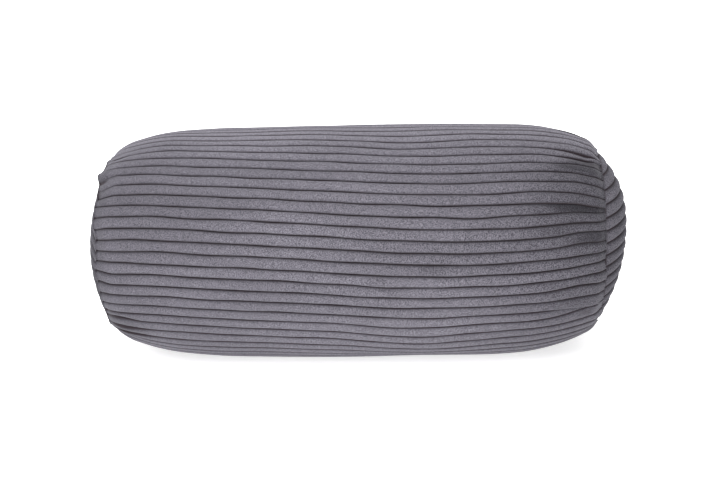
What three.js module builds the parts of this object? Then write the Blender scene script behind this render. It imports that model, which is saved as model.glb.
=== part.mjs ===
// Neck roll pillow: a stuffed bolster in wide-wale corduroy, lying on its side along X.
// The body panel is rolled into a tube, its wales along the roll, and closed by a seam low at the back.
// A round panel, domed by the filling, is sewn into each end.
// Millimetres, +Z up. The front of the roll faces -Y. The origin is under the middle of the roll,
// on the surface that it lies on.

import * as THREE from "three";
import { LoftGeometry } from "three/addons/geometries/LoftGeometry.js";

// Driving dimensions
const ROLL_LENGTH = 400; // over both domed ends
const ROLL_RADIUS = 86.9; // of the tube that the body panel is sewn into, over the wales
const SEAM_RADIUS = 64.7; // where the body panel turns in to meet an end panel
const SETTLE_DEPTH = 5; // how far the roll flattens where it rests
const CLOTH_THICKNESS = 3; // corduroy, over its wales
const HEM_THICKNESS = 1.5; // the same cloth pressed flat at a seam
const PIECE_GAP = 0.3; // left between two sewn pieces

// Wales
const WALE_COUNT = 65; // round the body
const WALE_DEPTH = 1.7; // from the crown of a wale to the groove beside it
const WALE_OUTLINE = [
  // phase: place across one wale, from 0 to 1; drop: share of WALE_DEPTH below the crown
  { phase: 0, drop: 1 },
  { phase: 0.2, drop: 0 },
  { phase: 0.8, drop: 0 },
];
const CLOSING_SEAM_TURN = 225; // degrees round the body, where its two edges are sewn together
const CLOSING_SEAM_DROP = 2.2; // that groove's depth, as a share of WALE_DEPTH

// Sections of the body between the rounded edges at its two seams
// reach: place along the roll, -1 at the left seam and 1 at the right one
// fullness: radius, as a share of ROLL_RADIUS; lift: how far the section's middle is above AXIS_HEIGHT
// slip: how far the cloth has crept up round the front of the roll
const SECTIONS = [
  { reach: -0.978, fullness: 0.79, lift: 0.6, slip: 9.5 },
  { reach: -0.945, fullness: 0.838, lift: 0.5, slip: 9.6 },
  { reach: -0.86, fullness: 0.905, lift: 0.2, slip: 10 },
  { reach: -0.77, fullness: 0.95, lift: 0, slip: 10 },
  { reach: -0.6, fullness: 0.984, lift: -0.6, slip: 8.7 },
  { reach: -0.36, fullness: 0.996, lift: -1.4, slip: 7 },
  { reach: -0.1, fullness: 1.006, lift: -1.5, slip: 4.1 },
  { reach: 0.2, fullness: 1.003, lift: -1.2, slip: 0.3 },
  { reach: 0.42, fullness: 1.002, lift: -0.9, slip: -1 },
  { reach: 0.6, fullness: 0.991, lift: -0.8, slip: -0.8 },
  { reach: 0.72, fullness: 0.973, lift: -0.3, slip: -0.6 },
  { reach: 0.81, fullness: 0.94, lift: 0.3, slip: -0.7 },
  { reach: 0.885, fullness: 0.897, lift: 0.7, slip: -0.7 },
  { reach: 0.94, fullness: 0.85, lift: 1, slip: -1.7 },
  { reach: 0.976, fullness: 0.808, lift: 1.3, slip: -2.6 },
];

// Gathers: where a seam takes in the spare cloth, as a soft trough that runs in from it
// end: -1 left, 1 right; turn: degrees round the roll, 0 at the front and 90 on top
// share: of the spare cloth at that seam; depth: at its deepest
// width: from the middle of the trough to its edge; length: from the seam inwards
const GATHERS = [
  { end: -1, turn: 62, share: 0.08, depth: 3.2, width: 12, length: 26 },
  { end: -1, turn: 105, share: 0.15, depth: 3.8, width: 15, length: 40 },
  { end: -1, turn: 150, share: 0.17, depth: 3.4, width: 13, length: 48 },
  { end: -1, turn: 197, share: 0.14, depth: 4, width: 14, length: 36 },
  { end: -1, turn: 240, share: 0.17, depth: 3.2, width: 13, length: 46 },
  { end: -1, turn: 285, share: 0.13, depth: 2.8, width: 12, length: 30 },
  { end: -1, turn: 309, share: 0.1, depth: 3.4, width: 12, length: 38 },
  { end: 1, turn: 30, share: 0.06, depth: 3.8, width: 8, length: 56 },
  { end: 1, turn: 63, share: 0.04, depth: 4.2, width: 11, length: 52 },
  { end: 1, turn: 100, share: 0.06, depth: 3.2, width: 12, length: 44 },
  { end: 1, turn: 118, share: 0.13, depth: 3.6, width: 12, length: 38 },
  { end: 1, turn: 155, share: 0.12, depth: 4, width: 12, length: 50 },
  { end: 1, turn: 204, share: 0.11, depth: 3.2, width: 13, length: 36 },
  { end: 1, turn: 246, share: 0.12, depth: 3.6, width: 12, length: 44 },
  { end: 1, turn: 290, share: 0.09, depth: 3, width: 11, length: 32 },
  { end: 1, turn: 335, share: 0.04, depth: 3.4, width: 9, length: 44 },
];
const GATHER_SQUEEZE = 0.6; // half the cloth that a gather presses together, as a share of what it takes in
const GATHER_SEAM_SHARE = 0.2; // how much of a gather's depth is left at the seam itself
const GATHER_RISE = 12; // the distance from the seam over which it reaches its full depth
// A slow sway of the cloth's lines round the roll, which grows towards the right seam
const SWAY = 1.35; // how far a line strays
const SWAY_WAVES = 4; // round the roll
const SWAY_START = 149; // degrees of the first wave that have passed at the front
const SWAY_RISE = { from: 0.2, to: 0.7 }; // the reach over which it grows
const EDGE_RELIEF = 0.25; // share of the wales and gathers left on the body's rounded edge

// End panels
// dome: how far it stands out past its edge; bluntness: 2 is a bowl, more is flatter in the middle
// lean: how much fuller it is towards its top; lift: how far its middle is above AXIS_HEIGHT
// slip: of the body's cloth at its seam; grain: degrees that the panel's wales rise towards the back
const END_PANELS = [
  { name: "end_panel_left", end: -1, dome: 16.8, bluntness: 1.9, lean: -0.15, lift: 0.6, slip: 9.4, grain: 8 },
  { name: "end_panel_right", end: 1, dome: 20.6, bluntness: 2.5, lean: 0.25, lift: 1.4, slip: -3, grain: 8 },
];
const PANEL_RIM_STEP = 1.2; // the panel's pressed edge stands this far out from the plane of the seam
const PANEL_CHORD_STEPS = 12; // points along each wale of an end panel
const PANEL_CUT = 0.985; // where the outermost wales end, as a share of the panel's radius
const PANEL_RIM_DROP = 0.4; // share of the wales' depth left at the panel's pressed edge

// Rings of the filled body under an end panel, as shares of the panel's radius
const CORE_RINGS = [0.7, 0.36];
const CORE_GAP = 2.5 * PIECE_GAP; // wider than at the rim, because straight facets sag from the dome

// Sizes that follow from these
const [LEFT_SEAM, RIGHT_SEAM] = END_PANELS.map(
  ({ end, dome }) => end * (ROLL_LENGTH / 2 - dome - PANEL_RIM_STEP),
);
const SEAM_SPARE = 2 * Math.PI * (ROLL_RADIUS - SEAM_RADIUS); // cloth that each seam has to take in
const AXIS_HEIGHT = ROLL_RADIUS - SETTLE_DEPTH;
const WALE_PITCH = (2 * Math.PI * ROLL_RADIUS) / WALE_COUNT;
const PANEL_RADIUS = SEAM_RADIUS - 1.8; // the body's rounded edge overlaps the panel's edge by this much
const VALLEY_RADIUS = PANEL_RADIUS + PIECE_GAP;
const WALE_TURN = (2 * Math.PI) / WALE_COUNT;

const corduroy = new THREE.MeshStandardMaterial({ color: 0x7d7a84, roughness: 0.95, metalness: 0 });

// A smooth hump: 1 at the middle, 0 at the edge and beyond
function hump(distance, edge) {
  const share = Math.min(Math.abs(distance) / edge, 1);
  return Math.cos((share * Math.PI) / 2) ** 2;
}

// The shortest way round from one turn to another, in radians
function turnBetween(from, to) {
  return Math.atan2(Math.sin(to - from), Math.cos(to - from));
}

// How far a point of the body lies inside the seam at one end
function inlandOf(end, along) {
  return Math.max(end > 0 ? RIGHT_SEAM - along : along - LEFT_SEAM, 0);
}

// Where a line of the cloth lies round the roll, drawn towards the gathers as the roll narrows
// base: its turn at the fullest section
function clothTurn({ along, radius, slip }, base) {
  const drawnRadius = Math.max(radius, SEAM_RADIUS);
  const spare = 2 * Math.PI * (ROLL_RADIUS - drawnRadius);
  const reach = THREE.MathUtils.mapLinear(along, LEFT_SEAM, RIGHT_SEAM, -1, 1);
  const grown = THREE.MathUtils.smoothstep(reach, SWAY_RISE.from, SWAY_RISE.to);
  const sway = SWAY * grown * Math.sin(SWAY_WAVES * base + THREE.MathUtils.degToRad(SWAY_START));
  let shift = slip + sway;
  for (const { end, turn, share } of GATHERS) {
    if (end * along > 0) {
      const away = turnBetween(THREE.MathUtils.degToRad(turn), base);
      const squeezed = GATHER_SQUEEZE * share * SEAM_SPARE;
      const pull = (1 - Math.abs(away) / Math.PI) * Math.tanh((away * ROLL_RADIUS) / squeezed);
      shift -= (share * spare * pull) / 2;
    }
  }
  return base + shift / drawnRadius;
}

// How deep the gathers are on one line of the cloth
function gatherDepth(along, base) {
  let total = 0;
  for (const { end, turn, depth, width, length } of GATHERS) {
    const inland = inlandOf(end, along);
    const arc = turnBetween(THREE.MathUtils.degToRad(turn), base) * ROLL_RADIUS;
    const rise = Math.min(inland / GATHER_RISE, 1);
    const start = GATHER_SEAM_SHARE + (1 - GATHER_SEAM_SHARE) * rise;
    total += depth * start * hump(inland, length) * hump(arc, width);
  }
  return total;
}

// How much of a wale's depth the cloth drops at one point round the body
function waleDrop(wale, outline) {
  const closingWale = Math.round(THREE.MathUtils.degToRad(CLOSING_SEAM_TURN) / WALE_TURN);
  const isClosingSeam = outline.drop > 0 && wale === closingWale;
  return isClosingSeam ? CLOSING_SEAM_DROP : outline.drop;
}

// One section of the body, wale by wale, flattened where it would reach under the surface
// relief: share of the wales and gathers that it shows
function bodySection(section) {
  const points = [];
  for (let wale = 0; wale < WALE_COUNT; wale++) {
    for (const outline of WALE_OUTLINE) {
      const base = (wale + outline.phase) * WALE_TURN;
      const turn = clothTurn(section, base);
      const drop = WALE_DEPTH * waleDrop(wale, outline) + gatherDepth(section.along, base);
      const reach = section.radius - section.relief * drop;
      const height = Math.max(AXIS_HEIGHT + section.lift + reach * Math.sin(turn), 0);
      points.push(new THREE.Vector3(section.along, -reach * Math.cos(turn), height));
    }
  }
  return points.reverse();
}

// How far an end panel's outside stands out at a point of its round, before its wales are pressed in
function domeReach(panel, y, z) {
  const share = Math.min(Math.hypot(y, z) / PANEL_RADIUS, 1);
  const fullness = 1 + (panel.lean * z) / PANEL_RADIUS;
  return ROLL_LENGTH / 2 - panel.dome + panel.dome * (1 - share ** panel.bluntness) * fullness;
}

function panelThickness(share) {
  return CLOTH_THICKNESS + (HEM_THICKNESS - CLOTH_THICKNESS) * share ** 2;
}

// The rings at one end of the body: its rounded edge, the valley of the seam, and the filling under the panel
function bodyEnd(panel) {
  const along = panel.end * (ROLL_LENGTH / 2 - panel.dome - PANEL_RIM_STEP / 2);
  const { slip, lift } = panel;
  const rings = [bodySection({ along, radius: SEAM_RADIUS, slip, lift, relief: EDGE_RELIEF })];
  for (const share of [1, ...CORE_RINGS]) {
    const radius = share === 1 ? VALLEY_RADIUS : share * PANEL_RADIUS;
    const ring = bodySection({ along, radius, slip, lift, relief: 0 });
    for (const point of ring) {
      const outside = domeReach(panel, point.y, point.z - AXIS_HEIGHT - lift);
      point.x = panel.end * (outside - panelThickness(share) - CORE_GAP);
    }
    rings.push(ring);
  }
  return rings;
}

function bodyGeometry() {
  const [left, right] = END_PANELS;
  const middle = SECTIONS.map(({ reach, fullness, lift, slip }) => {
    const along = THREE.MathUtils.mapLinear(reach, -1, 1, LEFT_SEAM, RIGHT_SEAM);
    return bodySection({ along, radius: fullness * ROLL_RADIUS, slip, lift, relief: 1 });
  });
  const rings = [...bodyEnd(left).reverse(), ...middle, ...bodyEnd(right)];
  return new LoftGeometry(rings, { capStart: true, capEnd: true });
}

// A section across the sheet of an end panel, along one line of its wales
// It runs out over the dome and back underneath
function panelSection(panel, across, drop) {
  const grain = THREE.MathUtils.degToRad(panel.grain);
  const halfChord = Math.sqrt(PANEL_RADIUS ** 2 - across ** 2);
  const outside = [];
  const inside = [];
  for (let step = 0; step <= PANEL_CHORD_STEPS; step++) {
    const chord = halfChord * ((2 * step) / PANEL_CHORD_STEPS - 1);
    const y = chord * Math.cos(grain) - across * Math.sin(grain);
    const z = chord * Math.sin(grain) + across * Math.cos(grain);
    const share = Math.hypot(y, z) / PANEL_RADIUS;
    const pressed = drop * WALE_DEPTH * (1 + (PANEL_RIM_DROP - 1) * share ** 4);
    const reach = domeReach(panel, y, z);
    const place = (x) => new THREE.Vector3(panel.end * x, y, AXIS_HEIGHT + panel.lift + z);
    outside.push(place(reach - pressed));
    inside.unshift(place(reach - panelThickness(share)));
  }
  const loop = [...outside, ...inside];
  return panel.end > 0 ? loop : loop.reverse();
}

function panelGeometry(panel) {
  const limit = PANEL_CUT * PANEL_RADIUS;
  const sections = [panelSection(panel, -limit, 0)];
  const outermostWale = Math.ceil(PANEL_RADIUS / WALE_PITCH);
  for (let wale = -outermostWale; wale <= outermostWale; wale++) {
    for (const { phase, drop } of WALE_OUTLINE) {
      const across = (wale + phase) * WALE_PITCH;
      if (Math.abs(across) < limit - PIECE_GAP) sections.push(panelSection(panel, across, drop));
    }
  }
  sections.push(panelSection(panel, limit, 0));
  return new LoftGeometry(sections, { capStart: true, capEnd: true });
}

function namedMesh(name, geometry) {
  const mesh = new THREE.Mesh(geometry, corduroy);
  mesh.name = name;
  return mesh;
}

const neckRoll = new THREE.Group();
neckRoll.add(namedMesh("roll_body", bodyGeometry()));
for (const panel of END_PANELS) {
  neckRoll.add(namedMesh(panel.name, panelGeometry(panel)));
}

export default neckRoll;
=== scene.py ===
import math

import bpy
import numpy as np
from mathutils import Matrix, Vector


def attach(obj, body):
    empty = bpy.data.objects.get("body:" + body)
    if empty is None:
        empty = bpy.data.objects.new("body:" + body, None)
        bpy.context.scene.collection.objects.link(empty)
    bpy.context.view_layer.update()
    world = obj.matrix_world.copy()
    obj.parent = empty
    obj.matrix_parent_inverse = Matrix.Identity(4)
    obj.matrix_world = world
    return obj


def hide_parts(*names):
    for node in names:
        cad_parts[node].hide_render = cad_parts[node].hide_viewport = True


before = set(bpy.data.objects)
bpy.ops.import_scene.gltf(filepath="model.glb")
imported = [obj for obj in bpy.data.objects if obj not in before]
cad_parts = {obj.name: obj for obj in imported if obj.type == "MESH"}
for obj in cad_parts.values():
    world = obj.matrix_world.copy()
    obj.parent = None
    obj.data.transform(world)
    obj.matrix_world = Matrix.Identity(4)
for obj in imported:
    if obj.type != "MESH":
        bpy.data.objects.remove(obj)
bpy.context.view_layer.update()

MM = 0.001
NEARLY_NONE = 0.001

# Sizes of the solids
ROLL_LENGTH = 400
ROLL_RADIUS = 86.9
SEAM_RADIUS = 64.7
SETTLE_DEPTH = 5  # how far the underside is pressed flat
SETTLE_ROUNDING = 1  # how softly the flat strip ends
CLOTH_THICKNESS = 3
HEM_THICKNESS = 1.5
PIECE_GAP = 0.3
PANEL_INSET = 1.8  # from the seam in to a panel's edge
PANEL_RIM_STEP = 1.2  # how far a panel's edge stands out past the body's seam
CORE_RINGS = (0.7, 0.36)  # rings of the body's ends behind the panels, as shares of their radius
CORE_GAP = 0.75  # between a panel and the body's end behind it
PANEL_RADIUS = SEAM_RADIUS - PANEL_INSET
VALLEY_RADIUS = PANEL_RADIUS + PIECE_GAP
AXIS_HEIGHT = ROLL_RADIUS - SETTLE_DEPTH
SEAM_SPARE = 2 * math.pi * (ROLL_RADIUS - SEAM_RADIUS)

# Wales
WALE_COUNT = 65
WALE_TURN = 2 * math.pi / WALE_COUNT
WALE_PITCH = ROLL_RADIUS * WALE_TURN
WALE_DEPTH = 2.5
WALE_CROWN = 0.26  # share of the depth in the soft rounding of a wale, the rest is its steep edge
WALE_STEEPNESS = 8.5
WALE_PLACES = (1, 0.94, 0.87, 0.76, 0.6, 0.37, 0.12)  # from the groove, 1, to the crown, 0
WALE_WANDER = 0.03  # how far a groove strays, as a share of a wale
GROOVE_UNEVEN = 0.14  # how much a groove's depth changes along it
FORM_UNEVEN = 0.4  # how far the filling strays from an even form
CLOSING_SEAM_TURN = 225
CLOSING_SEAM_DROP = 2  # depth of its groove, as a share of the others'
CLOSING_SEAM_HALF = 0.3  # half of its width, as a share of a wale

# Unevenness, each kind drawn from a seed of its own
# turns: most waves round the roll; length: of the shortest wave along it
WANDERS = {
    # kind: (seed, turns, length)
    "groove_line": (11, 40, 40),
    "form": (12, 9, 90),
    "groove_depth": (13, 60, 30),
    "tone": (22, 7, 110),
    "left_seam": (30, 40, 200),
    "right_seam": (32, 40, 200),
    "seam_dark": (33, 60, 200),
    "panel_tone": (41, 9, 30),
}
WANDER_WAVES = 14
WALE_TONE_SEED = 21

# Sections of the body
# reach: place along it, -1 at the left seam and 1 at the right one
# fullness: radius, as a share of ROLL_RADIUS; lift: of the section's middle
# slip: how far the cloth has crept up round the front
SECTIONS = (
    # reach, fullness, lift, slip
    (-1, 0.742, 0.6, 9.4),
    (-0.978, 0.79, 0.6, 9.5),
    (-0.945, 0.838, 0.5, 9.6),
    (-0.86, 0.905, 0.2, 10),
    (-0.77, 0.95, 0, 10),
    (-0.6, 0.984, -0.6, 8.7),
    (-0.36, 0.996, -1.4, 7),
    (-0.1, 1.006, -1.5, 4.1),
    (0.2, 1.003, -1.2, 0.3),
    (0.42, 1.002, -0.9, -1),
    (0.6, 0.991, -0.8, -0.8),
    (0.72, 0.973, -0.3, -0.6),
    (0.81, 0.94, 0.3, -0.7),
    (0.885, 0.897, 0.7, -0.7),
    (0.94, 0.85, 1, -1.7),
    (0.976, 0.808, 1.3, -2.6),
    (1, 0.747, 1.4, -3),
)
SWAY = 1.35  # a slow sway of the lines, which grows towards the right seam
SWAY_WAVES = 4  # round the roll
SWAY_START = math.radians(149)
SWAY_RISE = (0.2, 0.7)  # the reaches between which it grows

# Gathers, where a seam takes in spare cloth
# end: -1 left, 1 right; turn: in degrees; share: of the spare cloth at that seam
# depth, width and length: of the hollow that runs in from the seam
GATHERS = (
    # end, turn, share, depth, width, length
    (-1, 62, 0.08, 3.2, 12, 26),
    (-1, 105, 0.15, 3.8, 15, 40),
    (-1, 150, 0.17, 3.4, 13, 48),
    (-1, 197, 0.14, 4, 14, 36),
    (-1, 240, 0.17, 3.2, 13, 46),
    (-1, 285, 0.13, 2.8, 12, 30),
    (-1, 309, 0.1, 3.4, 12, 38),
    (1, 30, 0.06, 3.8, 8, 56),
    (1, 63, 0.04, 4.2, 11, 52),
    (1, 100, 0.06, 3.2, 12, 44),
    (1, 118, 0.13, 3.6, 12, 38),
    (1, 155, 0.12, 4, 12, 50),
    (1, 204, 0.11, 3.2, 13, 36),
    (1, 246, 0.12, 3.6, 12, 44),
    (1, 290, 0.09, 3, 11, 32),
    (1, 335, 0.04, 3.4, 9, 44),
)
TROUGH_SHARE = 0.5  # how much of that depth is a soft trough, the rest is left to the creases
GATHER_SQUEEZE = 0.6  # how tightly the cloth is drawn in at a gather, less is tighter
GATHER_SEAM_SHARE = 0.2  # share of a trough's depth at the seam itself
GATHER_RISE = 12  # how far in from the seam it is fully deep
GATHER_BLEND = 40  # how far either side of the middle both ends' gathers draw on the cloth

# Creases, where a gather tucks the wale under a groove below the one over it
# end: -1 left, 1 right; groove: counted up round the body from the front
# depth: of the tuck; lip: how far the cloth over it swells and laps down; length: in from the seam
# A negative depth and lip make a fold that opens upwards.
CREASES = (
    # end, groove, depth, lip, length
    (-1, 11, 1, 0.4, 24),
    (-1, 19, 2.6, 1, 40),
    (-1, 27, 2.8, 1, 46),
    (-1, 36, 3, 1, 36),
    (-1, 43, 2.8, 1, 44),
    (-1, 51, 2.2, 0.8, 30),
    (-1, 57, -0.9, -0.5, 46),
    (-1, 58, -0.9, -0.5, 40),
    (-1, 59, -0.6, -0.4, 32),
    (1, 6, 2.4, 0.7, 66),
    (1, 11, 1.5, 0.6, 46),
    (1, 12, 1.3, 0.6, 40),
    (1, 17, 2, 0.8, 36),
    (1, 21, 2.6, 1, 38),
    (1, 28, 2.8, 1, 48),
    (1, 37, 2.6, 1, 36),
    (1, 44, 2.6, 1, 44),
    (1, 52, 2.2, 0.8, 34),
    (1, 61, 2.2, 0.9, 48),
)
CREASE_BELOW = 9  # how far the tuck reaches down
CREASE_ABOVE = 6  # how far the swelling reaches up
CREASE_FULL = 0.3  # share of its length over which it keeps its depth

# Kinks, where the lines of the cloth stray from an even run
# along; turn: in degrees on the unfilled tube; shift: up round the roll; length and width: to its edge
KINKS = (
    # along, turn, shift, length, width
    (135, 38, 1.7, 75, 45),
    (-107, 70, -1.6, 40, 20),
    (48, 73, -1.5, 42, 18),
    (45, -48, -5.2, 62, 55),
    (10, -48, -1.8, 75, 50),
    (-155, 44, 1, 35, 14),
    (-95, -50, -2, 110, 25),
    (176, 0, 2, 26, 24),
    (174, -22, -2.2, 26, 7),
    (170, -27.7, 1.8, 30, 7),
    (166, 14, 2.3, 28, 12),
    (160, -10, 1.4, 34, 10),
    (-182, 41, -5, 15, 26),
    (-182, 19.4, -2, 12, 10),
    (-182, -8, 2.6, 12, 22),
    (-172, -33.2, 3, 24, 8),
)

# Overhangs, where the body's cloth bulges out over its seam
# end: -1 left, 1 right; turn: in degrees on the unfilled tube; past: along the roll; out: from its axis
# length: in from the seam; width: to its edge, round the roll
OVERHANGS = (
    # end, turn, past, out, length, width
    (-1, 47, 2.4, 1.8, 18, 8),
    (-1, 20, 3, 0.4, 22, 28),
    (-1, -20, 0.8, 0.2, 16, 60),
)
SEAM_WOBBLE = 0.8  # how far the seams stray from an even round
WOBBLE_LENGTH = 12  # how far in from a seam that reaches
EDGE_FREE = 3  # how soon the body's edge follows these moves, as its relief grows

# End panels
# dome: how far it stands out; bluntness: 2 is a bowl, more is flatter in the middle
# lean: how much fuller it is towards its top; lift: of its middle
# slip: of the body's cloth at its seam; grain: degrees that its wales rise towards the back
# start: how far its wales are moved up it, as a share of a wale; wobble: the unevenness of its seam
END_PANELS = {
    -1: {
        "name": "left_end_cover", "node": "end_panel_left", "wobble": "left_seam",
        "dome": 16.8, "bluntness": 1.9, "lean": -0.15, "lift": 0.6, "slip": 9.4, "grain": 8, "start": 0,
    },
    1: {
        "name": "right_end_cover", "node": "end_panel_right", "wobble": "right_seam",
        "dome": 20.6, "bluntness": 2.5, "lean": 0.25, "lift": 1.4, "slip": -3, "grain": 0, "start": 0.4,
    },
}
SEAM_ALONG = {
    end: end * (ROLL_LENGTH / 2 - panel["dome"] - PANEL_RIM_STEP)
    for end, panel in END_PANELS.items()
}
SPAN = SEAM_ALONG[1] - SEAM_ALONG[-1]
PANEL_WALE_DEPTH = 0.88  # as a share of the panel's thickness
PANEL_WALE_CROWN = 0.5  # as WALE_CROWN
PANEL_CROWN_DROP = 1.1  # how far a wale sinks from its crown to its edges, away from the rim
PANEL_CROWN_FADE = 6  # how sharply that ends at the rim
PANEL_RIM_ROLL = 0.6  # how far a panel's edge turns in to its seam
PANEL_ROLL_START = 0.93  # where that turn starts, as a share of the radius
PANEL_LEAST = 0.12  # least thickness, at the bottom of a groove
PANEL_STEPS = 72  # along each wale
PANEL_TIP_TURNS = (2.5, 5, 7.5, 10, 13)  # degrees from a panel's tips, where lines keep its edge round
PANEL_LINE_GAP = 0.3  # least distance from the wales' own lines to those
PANEL_LINE_DIGITS = 4  # decimals to which two lines count as one

# Soft spots, where the stuffing draws the grooves open
# along; turn: in degrees on the unfilled tube; length and width: to its edge
# opened: share of the depth lost
SOFT_SPOTS = (
    # along, turn, length, width, opened
    (-182, 44, 24, 20, 0.7),
    (-176, 66, 40, 30, 0.65),
    (165, 75, 34, 14, 0.4),
)

# Tucks, short folds that lie in shade
# along; turn: in degrees on the unfilled tube; length and width: to its edge
# depth: of the fold; shade: 0 none, 0.75 as dark as a groove
TUCKS = (
    # along, turn, length, width, depth, shade
    (-180, 43.2, 8, 2.2, 1.2, 0.9),
    (-185, 36, 9, 12, 0.8, 1),
    (-186, -28.2, 22, 2.4, 0.3, 0.9),
    (-180, -33.4, 30, 1.8, 0.6, 1),
    (-178, -38.9, 40, 1.9, 0.6, 1),
    (-172, -44.5, 48, 2, 0.6, 1),
    (174, 30.5, 38, 4.4, 0.6, 0.32),
    (176, 57.6, 26, 4.6, 0.8, 0.5),
    (172, 71.5, 22, 3.2, 0.4, 0.55),
    (174, 77, 18, 2.4, 0.4, 0.8),
    (166, -30, 14, 4, 0.8, 0.45),
)

# The body's edge, turning in from the seam to the valley beside the panel
# step: along the roll past the seam; radius; relief: share of the wales left; dark: painted shade, as in a
# groove
EDGE_ROWS = (
    # step, radius, relief, dark
    (0.6, SEAM_RADIUS - 0.1, 0.6, 0.35),
    (0.4, SEAM_RADIUS - 0.8, 0.3, 0.6),
    (-0.9, VALLEY_RADIUS, 0, 1),
)

# Rows of the body's mesh
ROW_COUNT = 103
ROW_STEP_SEAM = 1.4
ROW_STEP_MIDDLE = 4.6
ROW_STEP_CHANGE = 60  # the distance from a seam over which the step changes
ROW_SAMPLES = 2000  # places at which the step is read

# Patches where the nap is brushed another way, patches of painted shade in folds, and painted light low on
# the front
# along; turn: in degrees on the unfilled tube; length and width: to its edge
# dark: added to how dark the nap and its painted shade are, negative where it is lighter
PATCHES = (
    # along, turn, length, width, dark
    (56, 3, 16, 5, 0.2),
    (20, -3, 12, 5, 0.14),
    # painted shade in the fold under a tucked wale by the right seam
    (170, 30.5, 42, 6, 0.75),
    (168, 13, 28, 6, 0.3),
    (140, 19, 26, 6, 0.2),
    # painted shade in the folds near the top of the right seam
    (168, 58, 26, 6, 0.6),
    # painted shade at the lower left
    (-178, -42, 44, 34, 0.62),
    # painted light low on the front
    (10, -52, 120, 45, -0.18),
    # painted shade in a pleat near the top of the right seam
    (162, 53.5, 32, 6, 0.6),
    (-82, 20, 55, 36, 0.12),
    (62, 38, 55, 24, 0.12),
    (56, -6, 50, 24, -0.13),
    (-110, -18, 60, 20, -0.08),
    (80, -38, 80, 20, 0.08),
    (0, -38, 240, 20, 0.09),
)


def smooth_step(share):
    share = np.clip(share, 0, 1)
    return share * share * (3 - 2 * share)


def hump(distance, edge):
    share = np.minimum(np.abs(distance) / edge, 1)
    return np.cos(share * math.pi / 2) ** 2


def turn_between(start, end):
    return np.arctan2(np.sin(end - start), np.cos(end - start))


def curve_through(places, values, at):
    """A smooth curve through the values, read at other places."""
    slopes = np.gradient(values, places)
    index = np.clip(np.searchsorted(places, at) - 1, 0, len(places) - 2)
    width = places[index + 1] - places[index]
    share = np.clip((at - places[index]) / width, 0, 1)
    rise = smooth_step(share)
    start_bend = share * (1 - share) ** 2 * width * slopes[index]
    end_bend = share**2 * (share - 1) * width * slopes[index + 1]
    return values[index] * (1 - rise) + values[index + 1] * rise + start_bend + end_bend


def wander(kind, along, turn):
    """A smooth, seeded unevenness over the roll, mostly from -1 to 1."""
    seed, most_turns, shortest = WANDERS[kind]
    draw = np.random.default_rng(seed)
    total = 0
    for _ in range(WANDER_WAVES):
        turns = draw.integers(0, most_turns + 1)
        pitch = draw.uniform(-1, 1) * 2 * math.pi / shortest
        total = total + np.cos(turns * turn + pitch * along + draw.uniform(0, 2 * math.pi))
    return total / math.sqrt(WANDER_WAVES)


def reach_of(along):
    return 2 * (along - SEAM_ALONG[-1]) / SPAN - 1


def inland_of(end, along):
    return np.maximum(end * (SEAM_ALONG[end] - along), 0)


def arc_from(turn, base):
    """Distance round the unfilled tube from a turn in degrees."""
    return turn_between(math.radians(turn), base) * ROLL_RADIUS


def spot(along, base, middle, turn, length, width):
    """1 in the middle of a spot on the cloth, and 0 from its edge on."""
    return hump(along - middle, length) * hump(arc_from(turn, base), width)


def upper_edge(phase):
    """How near a line is to the upper edge of its wale: 0 up to its crown, 1 at the edge."""
    return np.maximum(2 * phase - 1, 0) ** 2


def cloth_turn(along, radius, slip, base):
    """Where a line of the cloth lies round the roll, drawn towards the gathers as the roll narrows."""
    drawn_radius = np.maximum(radius, SEAM_RADIUS)
    spare = 2 * math.pi * (ROLL_RADIUS - drawn_radius)
    grown = smooth_step((reach_of(along) - SWAY_RISE[0]) / (SWAY_RISE[1] - SWAY_RISE[0]))
    shift = slip + SWAY * grown * np.sin(SWAY_WAVES * base + SWAY_START)
    for end, turn, share, _depth, _width, _length in GATHERS:
        away = turn_between(math.radians(turn), base)
        squeezed = GATHER_SQUEEZE * share * SEAM_SPARE
        pull = (1 - np.abs(away) / math.pi) * np.tanh(away * ROLL_RADIUS / squeezed)
        hold = smooth_step(0.5 + end * along / (2 * GATHER_BLEND))
        shift = shift - hold * share * spare * pull / 2
    for middle, turn, amount, length, width in KINKS:
        shift = shift + amount * spot(along, base, middle, turn, length, width)
    return base + shift / drawn_radius


def gather_depth(along, base):
    """How far the gathers' soft troughs sink the cloth."""
    total = 0
    for end, turn, _share, depth, width, length in GATHERS:
        inland = inland_of(end, along)
        rise = np.minimum(inland / GATHER_RISE, 1)
        start = GATHER_SEAM_SHARE + (1 - GATHER_SEAM_SHARE) * rise
        trough = hump(inland, length) * hump(arc_from(turn, base), width)
        total = total + TROUGH_SHARE * depth * start * trough
    return total


def crease_moves(along, base):
    """(drop, lap): how far the creases sink the cloth, and how far they draw it down round the roll."""
    drop = 0
    lap = 0
    for end, groove, depth, lip, length in CREASES:
        inland = inland_of(end, along)
        fading = smooth_step((inland / length - CREASE_FULL) / (1 - CREASE_FULL))
        strength = smooth_step(inland / GATHER_RISE) * (1 - fading)
        arc = turn_between(groove * WALE_TURN, base) * ROLL_RADIUS
        below = np.where(arc < NEARLY_NONE, hump(arc, CREASE_BELOW), 0)
        above = np.where(arc < NEARLY_NONE, 0, hump(arc, CREASE_ABOVE))
        drop = drop + strength * (depth * below - lip * above)
        lap = lap + strength * lip * above
    return drop, lap


def overhang_moves(along, base):
    """(past, out): how far the cloth near the seams bulges along the roll and away from its axis."""
    past = 0
    out = 0
    for end, turn, most_past, most_out, length, width in OVERHANGS:
        share = hump(inland_of(end, along), length) * hump(arc_from(turn, base), width)
        past = past + end * most_past * share
        out = out + most_out * share
    for end, panel in END_PANELS.items():
        near = hump(inland_of(end, along), WOBBLE_LENGTH)
        past = past + SEAM_WOBBLE * near * wander(panel["wobble"], along, base)
    return past, out


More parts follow.
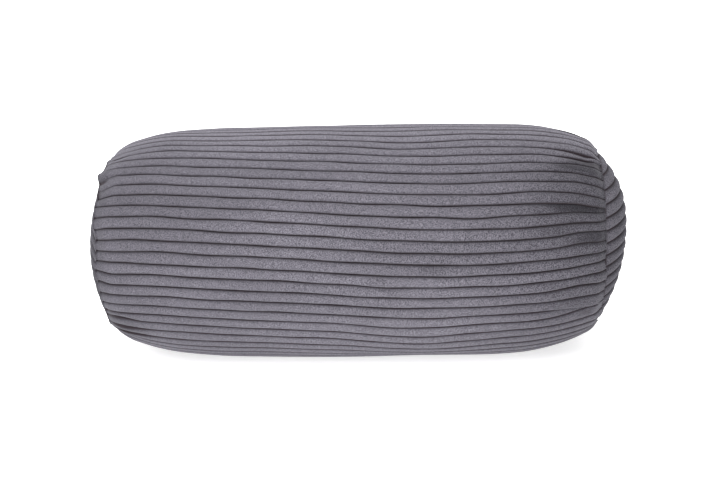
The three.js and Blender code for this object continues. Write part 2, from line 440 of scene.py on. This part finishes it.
def tuck_moves(along, base):
    """(drop, shade): how far the tucks sink the cloth, and how deep in shade it lies there."""
    drop = 0
    shade = 0
    for middle, turn, length, width, depth, most_shade in TUCKS:
        share = spot(along, base, middle, turn, length, width)
        drop = drop + depth * share
        shade = np.maximum(shade, most_shade * share)
    return drop, shade


def groove_share(along, base):
    """How much of the grooves' depth is left."""
    share = 1
    for middle, turn, length, width, opened in SOFT_SPOTS:
        share = share - opened * spot(along, base, middle, turn, length, width)
    return share


def wale_drop(place, crown=WALE_CROWN):
    """How far the cloth drops from a wale's crown, 0, to the groove beside it, 1."""
    return crown * place**2 + (1 - crown) * place**WALE_STEEPNESS


def dome_reach(panel, y, z):
    """How far an end panel's outside stands out at a point of its round."""
    share = np.minimum(np.hypot(y, z) / PANEL_RADIUS, 1)
    fullness = 1 + panel["lean"] * z / PANEL_RADIUS
    return ROLL_LENGTH / 2 - panel["dome"] + panel["dome"] * (1 - share ** panel["bluntness"]) * fullness


def panel_thickness(share):
    return CLOTH_THICKNESS + (HEM_THICKNESS - CLOTH_THICKNESS) * share**2


def settled(height):
    """Flattens what would reach under the surface that the roll lies on."""
    return (height + np.sqrt(height**2 + SETTLE_ROUNDING**2)) / 2


def new_piece(name, points, faces, values):
    """A smooth mesh object with a number of each kind in values at each point."""
    mesh = bpy.data.meshes.new(name)
    mesh.from_pydata((points * MM).tolist(), [], faces)
    mesh.update()
    for key, numbers in values.items():
        attribute = mesh.attributes.new(key, "FLOAT", "POINT")
        attribute.data.foreach_set("value", np.ascontiguousarray(numbers, dtype=np.float32))
    mesh.shade_smooth()
    piece = bpy.data.objects.new(name, mesh)
    bpy.context.scene.collection.objects.link(piece)
    return piece


def section_at(along):
    """(radius, lift, slip) of the body at places along it."""
    reaches, *columns = np.array(SECTIONS).T
    fullness, lift, slip = (curve_through(reaches, column, reach_of(along)) for column in columns)
    return ROLL_RADIUS * fullness, lift, slip


def row_places(count, seam_step, middle_step):
    """Places of rows along the roll, closer together near the seams."""
    fine = np.linspace(SEAM_ALONG[-1], SEAM_ALONG[1], ROW_SAMPLES)
    inland = np.minimum(fine - SEAM_ALONG[-1], SEAM_ALONG[1] - fine)
    step = seam_step + (middle_step - seam_step) * smooth_step(inland / ROW_STEP_CHANGE)
    passed = np.concatenate([[0], np.cumsum(1 / step[1:])])
    return np.interp(np.linspace(0, passed[-1], count), passed, fine)


def wale_columns():
    """(wale, phase across it from 0 to 1, place from groove to crown) of the columns round the body."""
    rising = [((1 - place) / 2, place) for place in WALE_PLACES]
    falling = [(1 - phase, place) for phase, place in reversed(rising[1:])]
    one = rising + falling
    wales = np.repeat(np.arange(WALE_COUNT), len(one))
    phases = np.tile([phase for phase, _ in one], WALE_COUNT)
    places = np.tile([place for _, place in one], WALE_COUNT)
    return wales, phases, places


def grid_faces(rows, columns):
    """Quads of a grid that closes round its columns, then a fan from its last two points over each end."""
    faces = []
    for row in range(rows - 1):
        for column in range(columns):
            after = (column + 1) % columns
            low = row * columns
            high = low + columns
            faces.append((low + column, high + column, high + after, low + after))
    first_tip = rows * columns
    last = (rows - 1) * columns
    for column in range(columns):
        after = (column + 1) % columns
        faces.append((first_tip, column, after))
        faces.append((first_tip + 1, last + after, last + column))
    return faces


# How dark the body's nap lies, from 0 to 1, with painted shade and painted light added
UPPER_EDGE_SHADE = 0.45  # painted shade at the upper edge of each wale, beside the groove above it
UNDER_LIGHTER = 0.9  # share of that painted shade lost low on the roll, so the underside is painted lighter
UNDER_MIDDLE = math.radians(-75)
UNDER_HALF = math.radians(35)
WALE_TONE = 0.05  # how far one wale's tone differs from the next
BROAD_TONE = 0.08  # slow changes of tone over the roll
FRONT_SHEEN_DARK = 0.2  # painted sheen: the front is darkened, so the top and underside read lighter as a sheen would light them
END_SHADE = {-1: 0.16, 1: 0.45}  # painted shade towards each end, most at the right
END_DARK_REACH = 0.25  # the reach at which that starts
TOP_LIGHTER = 0.8  # share of that painted shade lost round the top, which is painted lighter
TOP_MIDDLE = math.radians(92)
TOP_HALF = math.radians(45)
SEAM_SIDE_SHADE = {-1: 0.27, 1: 0.05}  # painted shade beside each seam, where the cloth turns in
SEAM_DARK_LENGTH = 11

# How the looks change over the body
FLECK_LEFT = 1.35  # how strongly the nap is flecked, from the left seam to the right one
FLECK_RIGHT = 3.4
FRONT_MIDDLE = math.radians(20)  # the middle of the smooth front
ASIDE_START = math.radians(32)  # how far from there the grooves start to close
ASIDE_CHANGE = math.radians(40)
ASIDE_SHALLOW = 0.5  # share of the depth they lose
ASIDE_GROOVE_SHADE = 0.38  # how much darker their painted shade is there
TOP_GROOVE_SHADE = 0.06  # how much more of that painted shade on the top, and less underneath
SEAM_SHADE = {-1: 0.9, 1: 0.6}  # painted shade in the line of each seam
SEAM_UNEVEN = 0.25  # how much that changes along the line


def nap_tone_and_shade(along, base, phases, wales):
    """How dark the body's nap lies with its painted shade, without the painted sheen of the front."""
    draw = np.random.default_rng(WALE_TONE_SEED)
    each_wale = draw.uniform(-1, 1, WALE_COUNT)[wales]
    under = hump(turn_between(UNDER_MIDDLE, base), UNDER_HALF)
    top = hump(turn_between(TOP_MIDDLE, base), TOP_HALF)
    # painted shade at each wale's upper edge, painted lighter low on the roll
    upper = upper_edge(phases) * (1 - UNDER_LIGHTER * under)
    tone = UPPER_EDGE_SHADE * upper + WALE_TONE * each_wale + BROAD_TONE * wander("tone", along, base)
    # painted shade towards each end and beside each seam
    for end in END_PANELS:
        near = smooth_step((end * reach_of(along) - END_DARK_REACH) / (1 - END_DARK_REACH))
        tone = tone + END_SHADE[end] * near * (1 - TOP_LIGHTER * top)
        tone = tone + SEAM_SIDE_SHADE[end] * hump(inland_of(end, along), SEAM_DARK_LENGTH)
    for middle, turn, length, width, dark in PATCHES:
        tone = tone + dark * spot(along, base, middle, turn, length, width)
    return tone


# Simulation of the cover, cut to the full tube and drawn in at its two seams
SIM_COLUMNS = 2 * WALE_COUNT
SIM_ROWS = 65
SIM_FRAMES = 20
SIM_STEP_SEAM = 2.6
SIM_STEP_MIDDLE = 8
SIM_HOLD_START = 10  # how far inland of a seam the cloth starts to be held to its form
SIM_HOLD_CHANGE = 60  # the distance over which that grows
SIM_LEAST_HOLD = 0.03
SIM_MOST_HOLD = 0.9
SIM_FLOOR_HOLD = 4  # the cloth under this height lies on the surface and stays there
SIM_PRESSURE = 3
SIM_MOST_MOVE = 3  # how far the body's mesh follows it
FRONT_CALM = 0.6  # share of the moves taken away round the smooth front
FRONT_HALF = math.radians(85)


def simulated_cover():
    """(along, moves): how far the spare cloth buckles out of or into its form, by row and column."""
    along = row_places(SIM_ROWS, SIM_STEP_SEAM, SIM_STEP_MIDDLE)
    radius, lift, slip = section_at(along)
    base = np.arange(SIM_COLUMNS) * 2 * math.pi / SIM_COLUMNS
    turn = cloth_turn(along[:, None], radius[:, None], slip[:, None], base[None, :])
    reach = radius[:, None] - gather_depth(along[:, None], base[None, :])
    height = settled(AXIS_HEIGHT + lift[:, None] + reach * np.sin(turn))
    filled = np.stack([along[:, None] + 0 * reach, -reach * np.cos(turn), height], -1)
    run = np.concatenate([[0], np.cumsum(np.hypot(np.diff(along), np.diff(radius)))])
    run = run - run[-1] / 2
    tube_y = -ROLL_RADIUS * np.cos(base)
    tube_z = AXIS_HEIGHT + ROLL_RADIUS * np.sin(base)
    cut = np.stack(np.broadcast_arrays(run[:, None], tube_y[None, :], tube_z[None, :]), -1)

    faces = [face for face in grid_faces(SIM_ROWS, SIM_COLUMNS) if len(face) == 4]
    cover = new_piece("simulated_cover", filled.reshape(-1, 3), faces, {})
    cover.shape_key_add(name="filled")
    cut_key = cover.shape_key_add(name="cut")
    cut_key.data.foreach_set("co", np.ascontiguousarray(cut.reshape(-1) * MM, dtype=np.float32))
    inland = np.minimum(along - along[0], along[-1] - along)[:, None]
    held = smooth_step((inland - SIM_HOLD_START) / SIM_HOLD_CHANGE)
    hold = SIM_LEAST_HOLD + (SIM_MOST_HOLD - SIM_LEAST_HOLD) * held + 0 * reach
    hold = np.where((inland <= 0) | (height < SIM_FLOOR_HOLD), 1, hold)
    group = cover.vertex_groups.new(name="hold")
    for index, weight in enumerate(hold.ravel().tolist()):
        group.add([index], weight, "REPLACE")

    cloth = cover.modifiers.new("cloth", "CLOTH")
    settings = cloth.settings
    settings.quality = 5
    settings.mass = 0.3
    settings.tension_stiffness = 20
    settings.compression_stiffness = 20
    settings.shear_stiffness = 8
    settings.bending_stiffness = 0.8
    settings.use_pressure = True
    settings.uniform_pressure_force = SIM_PRESSURE
    settings.effector_weights.gravity = 0
    settings.vertex_group_mass = "hold"
    settings.rest_shape_key = cut_key
    cloth.point_cache.frame_start = 1
    cloth.point_cache.frame_end = SIM_FRAMES
    for frame_number in range(1, SIM_FRAMES + 1):
        bpy.context.scene.frame_set(frame_number)
    simulated = cover.evaluated_get(bpy.context.evaluated_depsgraph_get())
    places = np.empty(SIM_ROWS * SIM_COLUMNS * 3, dtype=np.float32)
    simulated.data.vertices.foreach_get("co", places)
    bpy.data.objects.remove(cover)
    bpy.context.scene.frame_set(1)
    offset = places.reshape(filled.shape).astype(float) / MM - filled
    out = -offset[:, :, 1] * np.cos(turn) + offset[:, :, 2] * np.sin(turn)
    out = out - out.mean(axis=1, keepdims=True)
    return along, np.clip(out, -SIM_MOST_MOVE, SIM_MOST_MOVE)


def read_moves(simulated, along, base):
    """The simulated moves at other rows and columns."""
    rows, moves = simulated
    row = np.clip(np.searchsorted(rows, along) - 1, 0, len(rows) - 2)
    row_share = np.clip((along - rows[row]) / (rows[row + 1] - rows[row]), 0, 1)[:, None]
    by_row = moves[row] * (1 - row_share) + moves[row + 1] * row_share
    column = base / (2 * math.pi) * SIM_COLUMNS
    first = np.floor(column).astype(int)
    column_share = column - first
    before = by_row[:, first % SIM_COLUMNS]
    after = by_row[:, (first + 1) % SIM_COLUMNS]
    return before * (1 - column_share) + after * column_share


def body_cover():
    """The body's cover, closed behind the end panels."""
    along = row_places(ROW_COUNT, ROW_STEP_SEAM, ROW_STEP_MIDDLE)
    radius, lift, slip = section_at(along)
    relief = np.ones(ROW_COUNT)
    table = np.stack([along, radius, lift, slip, relief, 0 * relief], -1)
    edges = {}
    for end, panel in END_PANELS.items():
        rows = [
            (SEAM_ALONG[end] + end * step, edge_radius, panel["lift"], panel["slip"], edge_relief, dark)
            for step, edge_radius, edge_relief, dark in EDGE_ROWS
        ]
        edges[end] = np.array(rows)
    table = np.concatenate([edges[-1][::-1], table, edges[1]])
    along, radius, lift, slip, relief, dark = (column[:, None] for column in table.T)

    wales, phases, places = wale_columns()
    base = (wales + phases) * WALE_TURN
    stray = WALE_WANDER * WALE_TURN * wander("groove_line", along, base)
    tuck, lap = crease_moves(along, base[None, :])
    turn = cloth_turn(along, radius, slip, base[None, :] + stray) - relief * lap / radius
    closing = round(math.radians(CLOSING_SEAM_TURN) / WALE_TURN)
    from_closing = np.abs(turn_between(closing * WALE_TURN, base))
    near_closing = from_closing < CLOSING_SEAM_HALF * WALE_TURN
    depth = WALE_DEPTH * np.where(near_closing, CLOSING_SEAM_DROP, 1)
    grooves = wale_drop(places) * groove_share(along, base[None, :])
    grooves = grooves * (1 + GROOVE_UNEVEN * wander("groove_depth", along, base))
    lean = turn_between(FRONT_MIDDLE, turn)
    aside = smooth_step((np.abs(lean) - ASIDE_START) / ASIDE_CHANGE)
    fold, shade = tuck_moves(along, base[None, :])
    drop = depth * grooves * (1 - ASIDE_SHALLOW * aside) + gather_depth(along, base[None, :]) + tuck + fold
    reach = radius - relief * drop + FORM_UNEVEN * relief * wander("form", along, base)
    calm = 1 - FRONT_CALM * hump(turn_between(FRONT_MIDDLE, base), FRONT_HALF)
    reach = reach + relief * calm * read_moves(simulated_cover(), table[:, 0], base)
    past, out = overhang_moves(along, base[None, :])
    free = np.minimum(EDGE_FREE * relief, 1)
    reach = reach + free * out
    x = along + free * past
    y = -reach * np.cos(turn)
    z = settled(AXIS_HEIGHT + lift + reach * np.sin(turn))
    grid = np.stack([x, y, z], -1)
    # painted shade in the line of each seam, uneven along it
    seam_shade = np.where(along < 0, SEAM_SHADE[-1], SEAM_SHADE[1])
    dark = dark * seam_shade * (1 + SEAM_UNEVEN * wander("seam_dark", along, base))
    # painted shade in the grooves seen aside, more on the top
    groove_shade_aside = aside * (ASIDE_GROOVE_SHADE + TOP_GROOVE_SHADE * np.sin(lean))
    # the grooves' painted shade, with that of the seam lines and the tucks
    groove = np.maximum(np.maximum((1 + groove_shade_aside) * grooves, dark), shade)
    # the nap's tone and painted shade, with the front darkened for the painted sheen
    nap_and_painted_shade = nap_tone_and_shade(along, base[None, :], phases, wales) + FRONT_SHEEN_DARK * (1 - aside)
    to_right = np.clip((reach_of(along) + 1) / 2, 0, 1) ** 2
    fleck = FLECK_LEFT + (FLECK_RIGHT - FLECK_LEFT) * to_right + 0 * nap_and_painted_shade

    tips = []
    for end, panel in END_PANELS.items():
        edge_turn = turn[-1 if end > 0 else 0]
        rings = []
        for share in CORE_RINGS:
            ring_y = -share * PANEL_RADIUS * np.cos(edge_turn)
            ring_z = share * PANEL_RADIUS * np.sin(edge_turn)
            ring_x = end * (dome_reach(panel, ring_y, ring_z) - panel_thickness(share) - CORE_GAP)
            rings.append(np.stack([ring_x, ring_y, AXIS_HEIGHT + panel["lift"] + ring_z], -1))
        grid = np.concatenate([grid, rings] if end > 0 else [rings[::-1], grid])
        tips.append((end * (ROLL_LENGTH / 2 - CLOTH_THICKNESS - CORE_GAP), 0, AXIS_HEIGHT + panel["lift"]))
    hidden = np.ones((len(CORE_RINGS), len(base)))
    points = np.concatenate([grid.reshape(-1, 3), np.array(tips)])
    values = {}
    # groove and nap carry painted shade, fleck the grain
    for key, numbers in (("groove", groove), ("nap_and_painted_shade", nap_and_painted_shade), ("fleck", fleck)):
        rows = np.concatenate([hidden, numbers, hidden])
        values[key] = np.concatenate([rows.ravel(), np.ones(len(tips))])
    return new_piece("body_cover", points, grid_faces(len(grid), len(base)), values)


def panel_lines(start):
    """(across, place from groove to crown) of the lines along a panel's wales, tip to tip."""
    lines = {}
    outermost = math.ceil(PANEL_RADIUS / WALE_PITCH)
    for wale in range(-outermost, outermost + 1):
        for place in WALE_PLACES:
            for phase in {(1 - place) / 2, (1 + place) / 2}:
                across = (wale + phase + start) * WALE_PITCH
                lines[round(across, PANEL_LINE_DIGITS)] = place
    tips = [PANEL_RADIUS * math.cos(math.radians(turn)) for turn in PANEL_TIP_TURNS]
    limit = tips[-1] - PANEL_LINE_GAP
    lines = {across: place for across, place in lines.items() if abs(across) < limit}
    for tip in tips:
        for across in (tip, -tip):
            phase = (across / WALE_PITCH - start) % 1
            lines[across] = abs(2 * phase - 1)
    return sorted(lines.items())


# How dark a panel's nap and grooves are, mostly painted shade
PANEL_SHADE = {-1: 0.85, 1: 0.63}  # painted shade of the nap at its edge
PANEL_MIDDLE_DARK = 0.55  # share of that in its middle
PANEL_TOP_LIGHTER = 0.5  # share of that painted shade lost at its top, which is painted lighter
PANEL_EDGE_SHADE = 0.45  # painted shade at the upper edge of each wale
PANEL_GROOVE_SHADE = 1.2  # how dark the painted shade of its grooves is, as a share of the body's at the front
PANEL_RIM_START = 0.965  # where painted shade darkens it into its seam, as a share of the radius


def panel_faces(count, steps):
    """Faces of a panel: its lines' points on the outside, then on the inside, then two tips of each."""
    under = count * steps
    first_tip = 2 * under
    faces = []
    for line in range(count - 1):
        for step in range(steps - 1):
            a = line * steps + step
            quad = (a, a + 1, a + 1 + steps, a + steps)
            faces.append(quad)
            faces.append(tuple(under + i for i in reversed(quad)))
        for step in (0, steps - 1):
            a = line * steps + step
            wall = (a, a + steps, under + a + steps, under + a)
            faces.append(wall if step == 0 else wall[::-1])
    for line, tip in ((0, first_tip), (count - 1, first_tip + 1)):
        under_tip = tip + 2
        flip = line == 0
        for step in range(steps - 1):
            a = line * steps + step
            top = (a, tip, a + 1)
            bottom = (under + a + 1, under_tip, under + a)
            faces.append(top if flip else top[::-1])
            faces.append(bottom if flip else bottom[::-1])
        for step in (0, steps - 1):
            a = line * steps + step
            wall = (a, under + a, under_tip, tip)
            faces.append(wall if flip == (step == 0) else wall[::-1])
    return faces


def panel_cover(end):
    """An end panel's cover, as thick as its solid."""
    panel = END_PANELS[end]
    lines = panel_lines(panel["start"])
    across = np.array([line[0] for line in lines])[:, None]
    place = np.array([line[1] for line in lines])[:, None]
    sweep = np.sin(np.linspace(-1, 1, PANEL_STEPS + 1) * math.pi / 2)[None, :]
    chord = np.sqrt(PANEL_RADIUS**2 - across**2) * sweep
    tip_across = np.array([-PANEL_RADIUS, PANEL_RADIUS])

    def on_panel(chord, across, drop, round_share):
        grain = math.radians(panel["grain"])
        y = chord * np.cos(grain) - across * np.sin(grain)
        z = chord * np.sin(grain) + across * np.cos(grain)
        share = np.hypot(y, z) / PANEL_RADIUS
        roll = PANEL_RIM_ROLL * np.clip((share - PANEL_ROLL_START) / (1 - PANEL_ROLL_START), 0, 1) ** 2
        reach = dome_reach(panel, y, z)
        sunk = PANEL_CROWN_DROP * round_share * (1 - share**PANEL_CROWN_FADE)
        outside = reach - roll - sunk - PANEL_WALE_DEPTH * drop * (panel_thickness(share) - roll)
        inside = reach - panel_thickness(share)
        outside = np.maximum(outside, inside + PANEL_LEAST)
        height = AXIS_HEIGHT + panel["lift"] + z
        # painted shade round the rim, into the seam
        rim = SEAM_SHADE[end] * smooth_step((share - PANEL_RIM_START) / (1 - PANEL_RIM_START))
        return np.stack([end * outside, y, height], -1), np.stack([end * inside, y, height], -1), rim

    outside, inside, rim = on_panel(chord, across, wale_drop(place, PANEL_WALE_CROWN), place**2)
    tip_outside, tip_inside, _ = on_panel(0 * tip_across, tip_across, 0 * tip_across, 0 * tip_across)
    # painted shade of the grooves and the rim
    groove = np.maximum(PANEL_GROOVE_SHADE * wale_drop(place) + 0 * rim, rim)
    upper = upper_edge((across / WALE_PITCH - panel["start"]) % 1)
    share = np.hypot(chord, across) / PANEL_RADIUS
    # painted shade of the nap, deeper at the edge and the wales' upper edges, lighter at the top
    nap_and_painted_shade = PANEL_SHADE[end] * (PANEL_MIDDLE_DARK + (1 - PANEL_MIDDLE_DARK) * share**2)
    nap_and_painted_shade = nap_and_painted_shade * (1 - PANEL_TOP_LIGHTER * np.clip(across / PANEL_RADIUS, 0, 1))
    nap_and_painted_shade = nap_and_painted_shade + PANEL_EDGE_SHADE * upper + BROAD_TONE * wander("panel_tone", chord, across / PANEL_RADIUS)
    count, steps = chord.shape
    points = np.concatenate([outside.reshape(-1, 3), inside.reshape(-1, 3), tip_outside, tip_inside])
    faces = panel_faces(count, steps)
    if end < 0:
        faces = [face[::-1] for face in faces]
    hidden = np.ones(len(points) - count * steps)
    values = {
        "groove": np.concatenate([groove.ravel(), hidden]),
        "nap_and_painted_shade": np.concatenate([nap_and_painted_shade.ravel(), hidden]),
        "fleck": np.full(len(points), FLECK_RIGHT),
    }
    return new_piece(panel["name"], points, faces, values)


# Material
BODY_SHEEN = 0.12
PANEL_SHEEN = 0.02
SHEEN_ROUGHNESS = 0.5
SHEEN_TINT = (0.8, 0.79, 0.85, 1)
CLOTH_ROUGHNESS = 0.95
CLOTH_SPECULAR = 0.1
GRAIN_SCALE = 1450
GRAIN_DETAIL = 3
GRAIN_ROUGHNESS = 0.6
GRAIN_MIDDLE = 0.5
NAP_LIGHT = (0.172, 0.163, 0.189, 1)
NAP_MIDDLE = (0.111, 0.105, 0.124, 1)
NAP_SHADE = (0.06, 0.056, 0.068, 1)
NAP_AND_SHADE_SHARE = (0.25, 0.25, 0.255, 1)  # of the colour left where the nap lies dark and its painted shade is full
# painted shade in the grooves, seam lines, tucks and panel rims
GROOVE_SHADE_COLOUR = (0.0205, 0.0152, 0.0182, 1)
RAGGED_EDGE = 0.6  # how far the pile breaks up the edges of the dark grooves
NAP_SPREAD = 0.18  # how far from the grain's middle the nap is fully light or in shade
GROOVE_RANGE = (0.2, 0.75)  # where the painted shade of a groove starts and is full
BUMP_STRENGTH = 0.5
BUMP_DISTANCE = 0.4


def corduroy(name, sheen):
    """Corduroy that reads from the mesh how dark its nap and painted shade are, how flecked it is and how
    deep in a groove's painted shade it lies.
    """
    material = bpy.data.materials.new(name)
    material.use_nodes = True
    nodes = material.node_tree.nodes
    links = material.node_tree.links
    shader = nodes["Principled BSDF"]
    shader.inputs["Roughness"].default_value = CLOTH_ROUGHNESS
    shader.inputs["Specular IOR Level"].default_value = CLOTH_SPECULAR
    shader.inputs["Sheen Weight"].default_value = sheen
    shader.inputs["Sheen Roughness"].default_value = SHEEN_ROUGHNESS
    shader.inputs["Sheen Tint"].default_value = SHEEN_TINT

    def attribute(name):
        node = nodes.new("ShaderNodeAttribute")
        node.attribute_name = name
        return node.outputs["Fac"]

    def mixed(share, first, second, blend="MIX"):
        node = nodes.new("ShaderNodeMix")
        node.data_type = "RGBA"
        node.blend_type = blend
        links.new(share, node.inputs["Factor"])
        links.new(first, node.inputs["A"])
        node.inputs["B"].default_value = second
        return node.outputs["Result"]

    def number(operation, first, second):
        node = nodes.new("ShaderNodeMath")
        node.operation = operation
        links.new(first, node.inputs[0])
        if isinstance(second, (int, float)):
            node.inputs[1].default_value = second
        else:
            links.new(second, node.inputs[1])
        return node.outputs["Value"]

    coordinates = nodes.new("ShaderNodeTexCoord")
    noise = nodes.new("ShaderNodeTexNoise")
    noise.inputs["Scale"].default_value = GRAIN_SCALE
    noise.inputs["Detail"].default_value = GRAIN_DETAIL
    noise.inputs["Roughness"].default_value = GRAIN_ROUGHNESS
    links.new(coordinates.outputs["Object"], noise.inputs["Vector"])
    grain = noise.outputs["Fac"]
    stray = number("SUBTRACT", grain, GRAIN_MIDDLE)

    flecked = number("ADD", number("MULTIPLY", stray, attribute("fleck")), GRAIN_MIDDLE)
    ramp = nodes.new("ShaderNodeValToRGB")
    stops = ramp.color_ramp.elements
    stops[0].position = GRAIN_MIDDLE - NAP_SPREAD
    stops[0].color = NAP_SHADE
    stops[1].position = GRAIN_MIDDLE + NAP_SPREAD
    stops[1].color = NAP_LIGHT
    middle = stops.new(GRAIN_MIDDLE)
    middle.color = NAP_MIDDLE
    links.new(flecked, ramp.inputs["Fac"])

    # the nap's dark and its painted shade, from the mesh
    nap_with_painted_shade = mixed(attribute("nap_and_painted_shade"), ramp.outputs["Color"], NAP_AND_SHADE_SHARE, "MULTIPLY")
    # painted shade of the grooves, seams, tucks and rims, from the mesh
    depth = nodes.new("ShaderNodeMapRange")
    depth.inputs["From Min"].default_value = GROOVE_RANGE[0]
    depth.inputs["From Max"].default_value = GROOVE_RANGE[1]
    fibres = number("MULTIPLY", stray, RAGGED_EDGE)
    links.new(number("ADD", attribute("groove"), fibres), depth.inputs["Value"])
    links.new(mixed(depth.outputs["Result"], nap_with_painted_shade, GROOVE_SHADE_COLOUR), shader.inputs["Base Color"])

    bump = nodes.new("ShaderNodeBump")
    bump.inputs["Strength"].default_value = BUMP_STRENGTH
    bump.inputs["Distance"].default_value = BUMP_DISTANCE * MM
    links.new(grain, bump.inputs["Height"])
    links.new(bump.outputs["Normal"], shader.inputs["Normal"])
    return material


# Pieces
body = body_cover()
body.data.materials.append(corduroy("corduroy", BODY_SHEEN))
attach(body, "root")
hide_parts("roll_body")

panel_cloth = corduroy("corduroy_ends", PANEL_SHEEN)
for end in END_PANELS:
    cover = panel_cover(end)
    cover.data.materials.append(panel_cloth)
    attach(cover, "root")
    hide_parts(END_PANELS[end]["node"])

# Stage
FLOOR_HALF = 40
FLOOR_COLOUR = (0.93, 0.93, 0.93, 1)
FLOOR_ROUGHNESS = 0.9
FLOOR_GLOW = 0.6
WHITE = (1, 1, 1, 1)
floor_corners = [(FLOOR_HALF * x, FLOOR_HALF * y, 0) for x, y in ((-1, -1), (1, -1), (1, 1), (-1, 1))]
floor_mesh = bpy.data.meshes.new("floor")
floor_mesh.from_pydata(floor_corners, [], [(0, 1, 2, 3)])
floor = bpy.data.objects.new("floor", floor_mesh)
bpy.context.scene.collection.objects.link(floor)
floor_material = bpy.data.materials.new("pale_floor")
floor_material.use_nodes = True
floor_shader = floor_material.node_tree.nodes["Principled BSDF"]
floor_shader.inputs["Base Color"].default_value = FLOOR_COLOUR
floor_shader.inputs["Roughness"].default_value = FLOOR_ROUGHNESS
floor_shader.inputs["Emission Color"].default_value = WHITE
floor_shader.inputs["Emission Strength"].default_value = FLOOR_GLOW
floor_mesh.materials.append(floor_material)

# Light: a white room that is darker over the right end of the roll
ROOM_LEVEL = 1.3
SIDE_START = 0.1  # how far a direction turns to the right before the room darkens
SIDE_LEVEL = 0.3
SIDE_RISE = 6  # how fast the dark comes in over the horizon
LIGHTS = (
    # name, place, target, size, power
    ("key", (-0.9, -1.4, 1.7), (0, 0, 0.08), 1.4, 21),
    ("top", (-0.1, 0.5, 1.6), (0, 0, 0.1), 1.1, 21),
    ("low_fill", (0, -1.5, 0.12), (0, 0, 0.03), 0.6, 13),
)
world = bpy.data.worlds.new("studio")
bpy.context.scene.world = world
world.use_nodes = True
world_nodes = world.node_tree.nodes
world_links = world.node_tree.links
direction = world_nodes.new("ShaderNodeTexCoord")
split = world_nodes.new("ShaderNodeSeparateXYZ")
above = world_nodes.new("ShaderNodeMath")
above.operation = "MULTIPLY"
above.use_clamp = True
above.inputs[1].default_value = SIDE_RISE
side = world_nodes.new("ShaderNodeMath")
side.operation = "MULTIPLY"
room = world_nodes.new("ShaderNodeMapRange")
room.interpolation_type = "SMOOTHSTEP"
room.inputs["From Min"].default_value = SIDE_START
room.inputs["From Max"].default_value = 1
room.inputs["To Min"].default_value = ROOM_LEVEL
room.inputs["To Max"].default_value = SIDE_LEVEL
world_links.new(direction.outputs["Generated"], split.inputs["Vector"])
world_links.new(split.outputs["Z"], above.inputs[0])
world_links.new(split.outputs["X"], side.inputs[0])
world_links.new(above.outputs["Value"], side.inputs[1])
world_links.new(side.outputs["Value"], room.inputs["Value"])
world_links.new(room.outputs["Result"], world_nodes["Background"].inputs["Strength"])
world_nodes["Background"].inputs["Color"].default_value = WHITE


def area_light(name, place, target, size, power):
    data = bpy.data.lights.new(name, "AREA")
    data.shape = "DISK"
    data.size = size
    data.energy = power
    light = bpy.data.objects.new(name, data)
    light.location = place
    light.rotation_euler = (Vector(target) - Vector(place)).to_track_quat("-Z", "Y").to_euler()
    bpy.context.scene.collection.objects.link(light)


for light_row in LIGHTS:
    area_light(*light_row)
bpy.context.scene.view_settings.view_transform = "Standard"

# Camera
CAMERA_YAW = math.radians(3)
CAMERA_RISE = math.radians(17)
CAMERA_ROLL = math.radians(1.59)
CAMERA_DISTANCE = 1050
CAMERA_SENSOR = 36
CAMERA_LENS = 69.66
CAMERA_SHIFT = (0.0053, -0.0011)
back = Vector((
    math.sin(CAMERA_YAW) * math.cos(CAMERA_RISE),
    -math.cos(CAMERA_YAW) * math.cos(CAMERA_RISE),
    math.sin(CAMERA_RISE),
))
across_view = Vector((math.cos(CAMERA_YAW), math.sin(CAMERA_YAW), 0))
upright = back.cross(across_view)
right = math.cos(CAMERA_ROLL) * across_view - math.sin(CAMERA_ROLL) * upright
up = math.sin(CAMERA_ROLL) * across_view + math.cos(CAMERA_ROLL) * upright
camera_data = bpy.data.cameras.new("camera")
camera_data.sensor_fit = "HORIZONTAL"
camera_data.sensor_width = CAMERA_SENSOR
camera_data.lens = CAMERA_LENS
camera_data.shift_x = CAMERA_SHIFT[0]
camera_data.shift_y = CAMERA_SHIFT[1]
camera = bpy.data.objects.new("camera", camera_data)
bpy.context.scene.collection.objects.link(camera)
camera_place = Vector((0, 0, AXIS_HEIGHT * MM)) + back * CAMERA_DISTANCE * MM
camera.matrix_world = Matrix.Translation(camera_place) @ Matrix((right, up, back)).transposed().to_4x4()
bpy.context.scene.camera = camera

bpy.context.view_layer.update()
